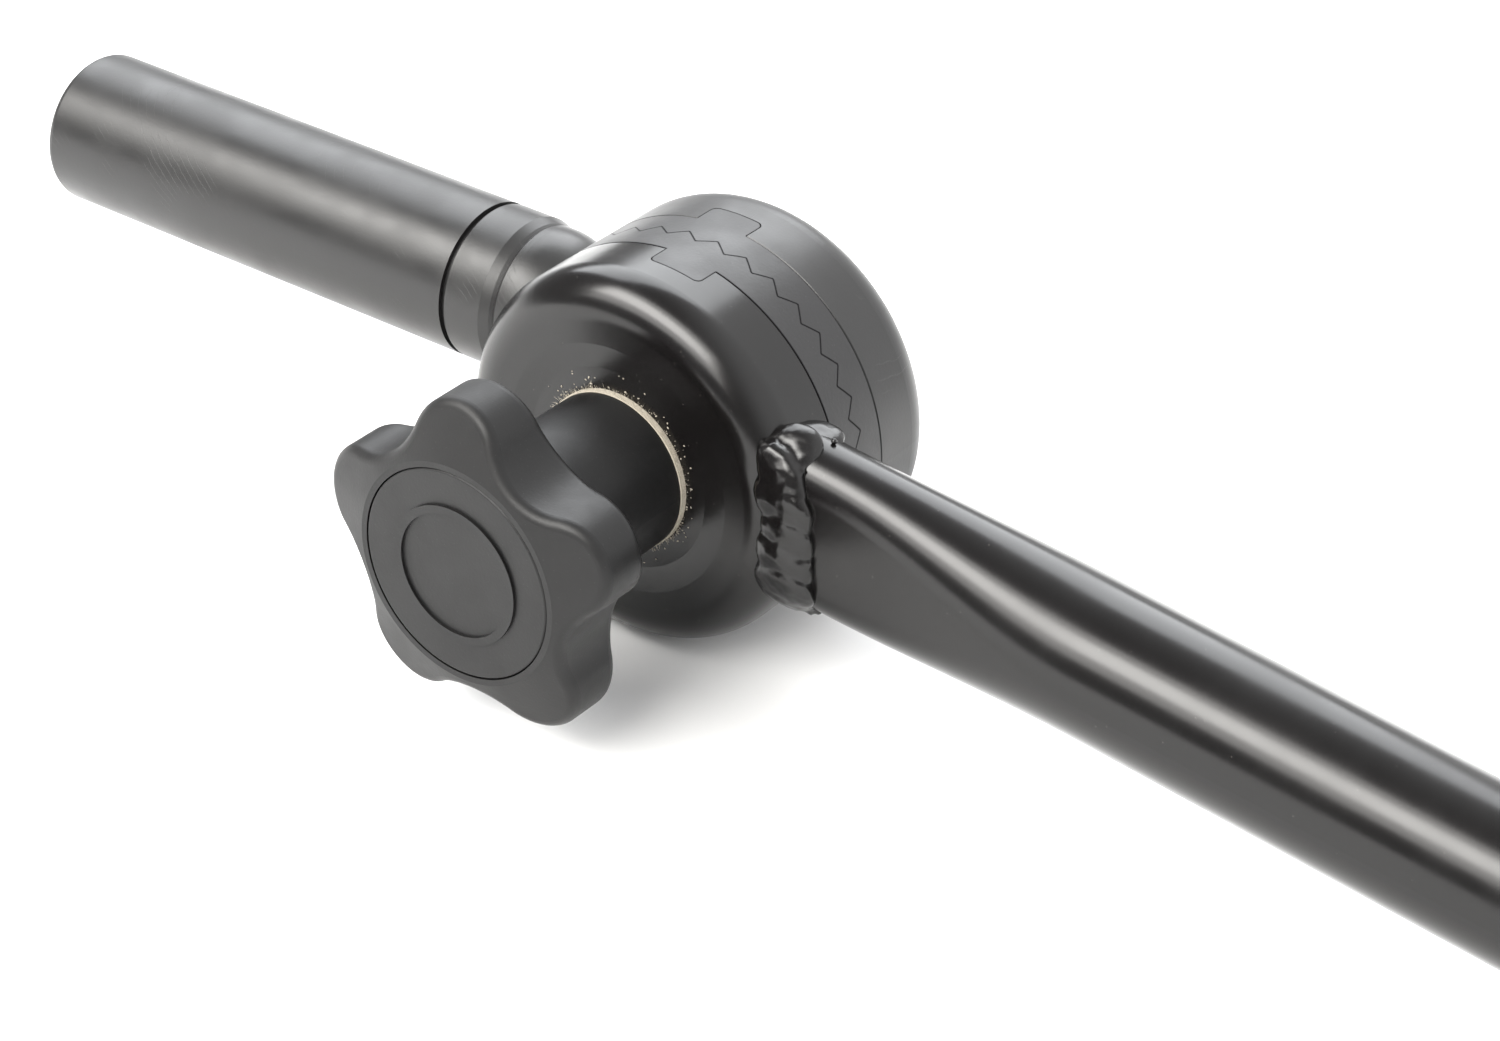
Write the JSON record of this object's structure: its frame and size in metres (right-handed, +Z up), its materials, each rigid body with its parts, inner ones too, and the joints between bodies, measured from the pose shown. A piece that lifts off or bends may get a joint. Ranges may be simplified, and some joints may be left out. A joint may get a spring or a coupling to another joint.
{
  "type": "tilting grip arm head",
  "caption": "Stand spigot joined to a long round tube arm by a toothed tilting clutch, clamped by a star knob.",
  "frame": {"origin": "on the spigot's axis at its shoulder, where the spigot's sleeve ends", "axes": "+X runs from the spigot towards the arm, +Z is up, the clamping knob faces -Y"},
  "size_m": [0.4949, 0.0916, 0.0806],
  "materials": {
    "gloss_paint": "gloss",
    "satin_paint": "satin",
    "ring_plastic": "matte",
    "knob_plastic": "matte",
    "fibre": "matte",
    "zinc_steel": "satin",
    "spring_steel": "satin",
    "bush_plastic": "satin",
    "plug_plastic": "matte"
  },
  "bodies": {
    "spigot_side": {"spigot_sleeve": "satin_paint", "spigot_core": "satin_paint", "spigot_screw": "zinc_steel", "spigot_weld": "satin_paint", "rear_clutch_half": "satin_paint", "rear_toothed_ring": "ring_plastic", "clamp_bolt": "zinc_steel", "stop_washer": "zinc_steel", "stop_screw": "zinc_steel", "release_spring": "spring_steel"},
    "pressure_washer": {"fibre_washer": "fibre"},
    "arm_side": {"arm_clutch_half": "gloss_paint", "arm_toothed_ring": "ring_plastic", "arm_tube": "gloss_paint", "arm_weld": "gloss_paint", "tube_end_plug": "plug_plastic", "pivot_bush": "bush_plastic"},
    "star_knob": {"knob": "knob_plastic", "knob_insert": "zinc_steel", "knob_cap": "knob_plastic"}
  },
  "joints": [
    {"name": "clutch_release", "type": "slide", "parent": "spigot_side", "child": "pressure_washer", "axis": [0, -1, 0], "range_m": [0, 0.003], "deforming": ["release_spring"]},
    {"name": "arm_tilt", "type": "hinge", "parent": "pressure_washer", "child": "arm_side", "pos_m": [0.0573, -0.0146, 0], "axis": [0, 1, 0], "continuous": true},
    {"name": "knob_turn", "type": "hinge", "parent": "pressure_washer", "child": "star_knob", "pos_m": [0.0573, -0.0146, 0], "axis": [0, -1, 0], "range_deg": [0, 720]}
  ],
  "couplings": [
    {"joint": "knob_turn", "follows": "clutch_release", "rad_per_m": 4188.8}
  ]
}
